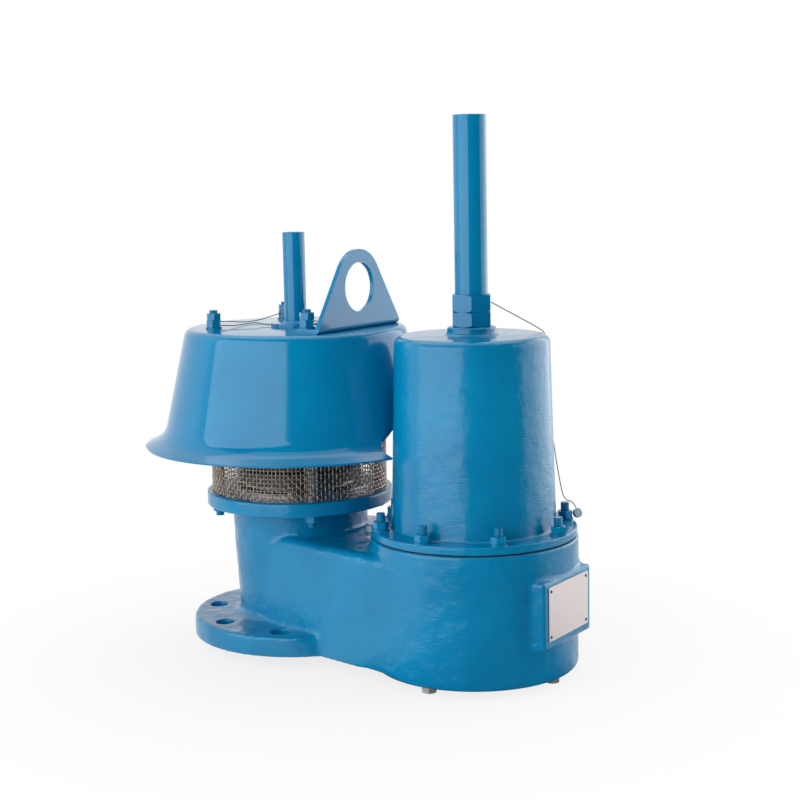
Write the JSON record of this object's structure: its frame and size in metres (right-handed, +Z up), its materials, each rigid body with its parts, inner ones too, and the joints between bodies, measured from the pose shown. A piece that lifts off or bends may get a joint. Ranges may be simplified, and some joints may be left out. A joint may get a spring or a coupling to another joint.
{
  "type": "pressure and vacuum relief valve",
  "caption": "Flanged tank relief valve: hooded pressure vent on a column, and a covered vacuum chamber beside it with a tall guide tube.",
  "frame": {"origin": "centre of the tank flange's bottom face", "axes": "+Z up along the column, +X towards the vacuum chamber"},
  "size_m": [0.4589, 0.3052, 0.5211],
  "materials": {
    "blue_paint": "gloss enamel",
    "cast_blue_paint": "gloss enamel over a cast surface",
    "stainless": "turned and drawn stainless",
    "brushed_plate": "brushed sheet",
    "gasket": "matt",
    "seal_wire": "twisted wire",
    "lead": "pressed lead",
    "bronze": "plain bearing",
    "seal_plastic": "matt"
  },
  "bodies": {
    "valve_body": {"body_casting": "cast_blue_paint", "pressure_seat_ring": "stainless", "pressure_seat_screws": "stainless", "pressure_guide_bush": "bronze", "vacuum_seat_ring": "stainless", "vacuum_seat_screws": "stainless", "vacuum_guide_bush": "bronze", "mesh_guard": "stainless", "hood": "blue_paint", "hood_tie_studs": "blue_paint", "hood_spacers": "stainless", "hood_top_washers": "blue_paint", "hood_top_nuts": "blue_paint", "hood_lower_nuts": "blue_paint", "lifting_lug": "blue_paint", "hood_tube_collar": "blue_paint", "hood_guide_tube": "blue_paint", "hood_tube_cap": "blue_paint", "hood_guide_bush": "bronze", "cover": "cast_blue_paint", "cover_gasket": "gasket", "cover_studs": "blue_paint", "cover_washers": "blue_paint", "cover_nuts": "blue_paint", "guide_nipple": "stainless", "nipple_lock_nut": "blue_paint", "tube_socket": "blue_paint", "guide_tube": "blue_paint", "guide_tube_cap": "blue_paint", "nipple_guide_bush": "bronze", "bottom_screen": "stainless", "screen_ring": "stainless", "screen_washers": "stainless", "screen_bolts": "stainless", "nameplate": "brushed_plate", "nameplate_rivets": "brushed_plate", "hood_seal_wires": "seal_wire", "cover_seal_wire": "seal_wire", "lead_seal": "lead"},
    "pressure_set": {"pressure_pallet": "stainless", "pressure_pallet_seal": "seal_plastic", "pressure_stem": "stainless", "pressure_weights": "stainless", "pressure_weight_nut": "stainless"},
    "vacuum_set": {"vacuum_pallet": "stainless", "vacuum_pallet_seal": "seal_plastic", "vacuum_stem": "stainless", "vacuum_weights": "stainless", "vacuum_weight_nut": "stainless"}
  },
  "joints": [
    {"name": "pressure_lift", "type": "slide", "parent": "valve_body", "child": "pressure_set", "axis": [0, 0, 1], "range_m": [0, 0.028]},
    {"name": "vacuum_lift", "type": "slide", "parent": "valve_body", "child": "vacuum_set", "axis": [0, 0, 1], "range_m": [0, 0.028]}
  ]
}
